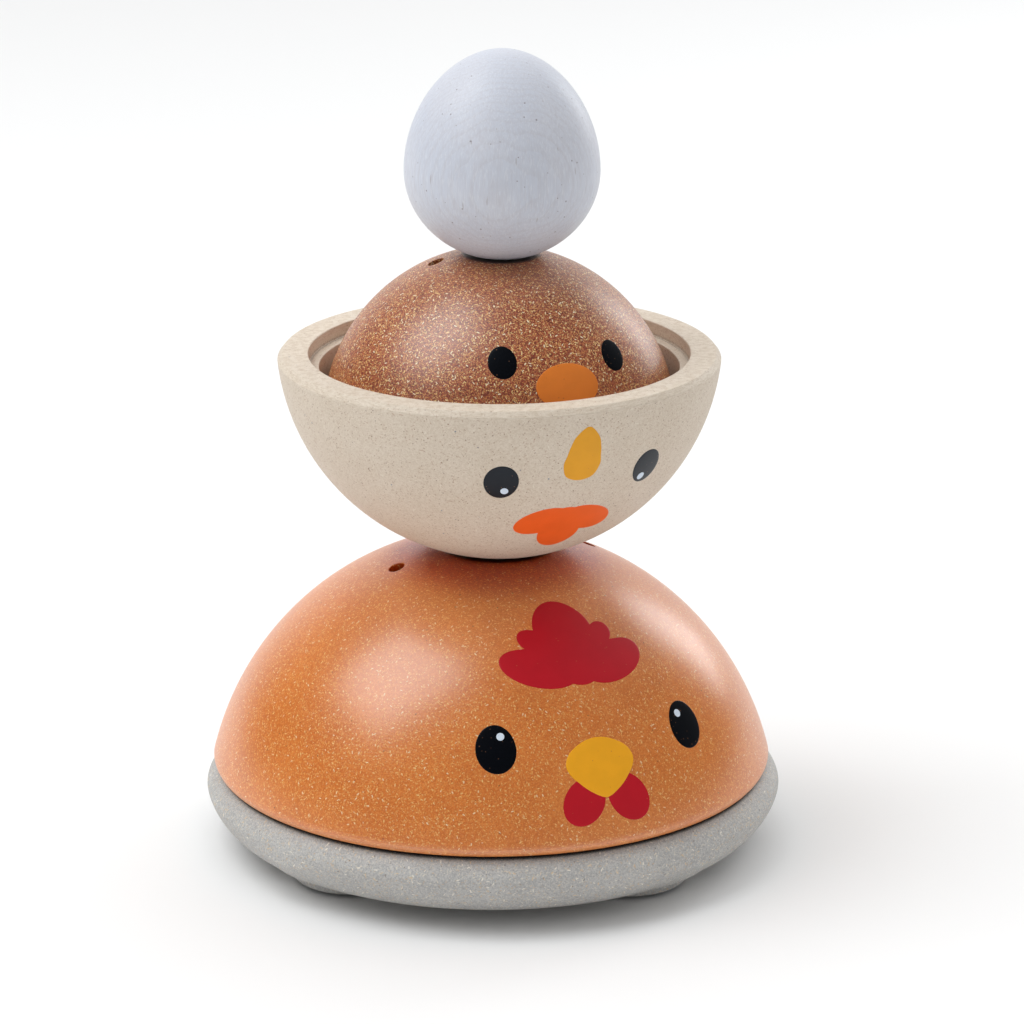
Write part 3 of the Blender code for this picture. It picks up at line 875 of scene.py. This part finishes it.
BLUE_SHEEN = (0.76, 0.86, 1.0, 1.0)
PAINTS = {
    "black": paint("black_paint", srgb(4, 5, 11), srgb(120, 84, 60), 0.32, 0.10, 0.38, BLUE_SHEEN),
    "white": paint("white_paint", srgb(214, 226, 240), srgb(200, 190, 180), 0.4, 0.0),
    "crimson": paint("crimson_paint", srgb(190, 22, 38), srgb(190, 90, 60), 0.36, 0.03, 0.2),
    "ochre": paint("ochre_paint", srgb(244, 170, 24), srgb(200, 120, 50), 0.42, 0.01),
    # Ochre again, a little darker: painted shade for the white hen's beak, which sits under the rim.
    "shaded_ochre": paint("mustard_paint", srgb(230, 160, 26), srgb(200, 120, 50), 0.42, 0.01),
    "vermilion": paint("vermilion_paint", srgb(242, 98, 34), srgb(210, 120, 70), 0.42, 0.02),
    "orange": paint("orange_paint", srgb(226, 126, 42), srgb(170, 90, 40), 0.42, 0.02),
}
for name, marks in PAINTED.items():
    for mark in marks:
        mark.data.materials.append(PAINTS[name])
print("paints:", sorted(PAINTS))

# %% [markdown]
# ## Studio light
#
# A big soft box stands to the left and high up, and a narrow one behind on the right gives the
# second sheen. The white room does the rest. Lamps are placed by the angle round the toy, as seen
# from the camera, and their height, so their reflections are easy to steer.

# %% Lamps
AIM = Vector((0.0, 0.0, 0.095))
to_camera = Vector((-math.sin(CAMERA_SIDE), -math.cos(CAMERA_SIDE), 0.0))
to_right = Vector((math.cos(CAMERA_SIDE), -math.sin(CAMERA_SIDE), 0.0))


def lamp(name, turn, height, distance, size, power, colour):
    """A soft box. Turn is in degrees to the right of the camera, round the toy."""
    turn, height = math.radians(turn), math.radians(height)
    level = to_camera * math.cos(turn) + to_right * math.sin(turn)
    direction = level * math.cos(height) + Vector((0.0, 0.0, math.sin(height)))
    light = bpy.data.lights.new(name, "AREA")
    light.shape = "RECTANGLE"
    light.size, light.size_y = size
    light.energy = power
    light.color = colour
    made = bpy.data.objects.new(name, light)
    made.location = AIM + direction * distance
    made.rotation_euler = direction.to_track_quat("Z", "Y").to_euler()
    made.visible_camera = False
    bpy.context.scene.collection.objects.link(made)
    return made


lamp("soft_box_left", -79.0, 57.0, 1.2, (0.8, 0.9), 7.2, (0.97, 0.99, 1.0))
lamp("strip_right", 139.0, 17.0, 1.2, (0.35, 0.6), 2.3, (0.96, 0.99, 1.0))

# %% [markdown]
# ## Floor and room
#
# The floor is plain white board and keeps the soft shadow of the dish. To the camera the room is
# plain white, and the sheen of the toy mirrors the same white backdrop behind it. The camera's own
# side of a studio is dark, and the sheen mirrors that too, so the black eyes, which face the camera,
# stay black. As a lamp the room is brightest overhead, like a studio with a white ceiling panel.

# %% Floor, room and picture settings
FRONT_LIGHT, BACK_LIGHT, PANEL_LIGHT = 0.48, 0.38, 1.7
DARK_SIDE = 0.03
FLOOR_HALF_SIZE = 4.0
floor_mesh = bpy.data.meshes.new("floor")
form = bmesh.new()
bmesh.ops.create_grid(form, x_segments=1, y_segments=1, size=FLOOR_HALF_SIZE)
form.to_mesh(floor_mesh)
form.free()
floor = bpy.data.objects.new("floor", floor_mesh)
bpy.context.scene.collection.objects.link(floor)
board, tree, shader = new_material("white_board")[:3]
shader.inputs["Base Color"].default_value = (0.88, 0.88, 0.88, 1.0)
shader.inputs["Roughness"].default_value = 0.9
shader.inputs["Specular IOR Level"].default_value = 0.1
floor.data.materials.append(board)
room = bpy.data.worlds.new("white_room")
room.use_nodes = True
tree = room.node_tree
look = tree.nodes.new("ShaderNodeTexCoord").outputs["Generated"]
facing = vectors(tree, "DOT_PRODUCT", look, tuple(to_camera), output="Value")
overhead = between(tree, add(tree, "ShaderNodeSeparateXYZ", {0: look}).outputs[2], 0.3, 0.7)
far_side = sums(tree, "MULTIPLY_ADD", overhead, PANEL_LIGHT - BACK_LIGHT, BACK_LIGHT)
behind = between(tree, facing, -0.35, 0.25, 1.0, 0.0)
light = sums(tree, "MULTIPLY_ADD", sums(tree, "SUBTRACT", far_side, FRONT_LIGHT), behind, FRONT_LIGHT)
backdrop = between(tree, facing, -0.95, -0.5, 1.0, DARK_SIDE)
ray = tree.nodes.new("ShaderNodeLightPath").outputs
strength = add(tree, "ShaderNodeMix", {0: ray["Is Glossy Ray"], 2: light, 3: backdrop}).outputs[0]
seen = sums(tree, "MAXIMUM", ray["Is Camera Ray"], ray["Is Transmission Ray"])
strength = add(tree, "ShaderNodeMix", {0: seen, 2: strength, 3: 1.0}).outputs[0]
tree.links.new(strength, tree.nodes["Background"].inputs["Strength"])
tree.nodes["Background"].inputs["Color"].default_value = (1.0, 1.0, 1.0, 1.0)
bpy.context.scene.world = room
bpy.context.scene.view_settings.view_transform = "Standard"
print("the room lights the toy at", FRONT_LIGHT, "in front and", PANEL_LIGHT, "overhead")
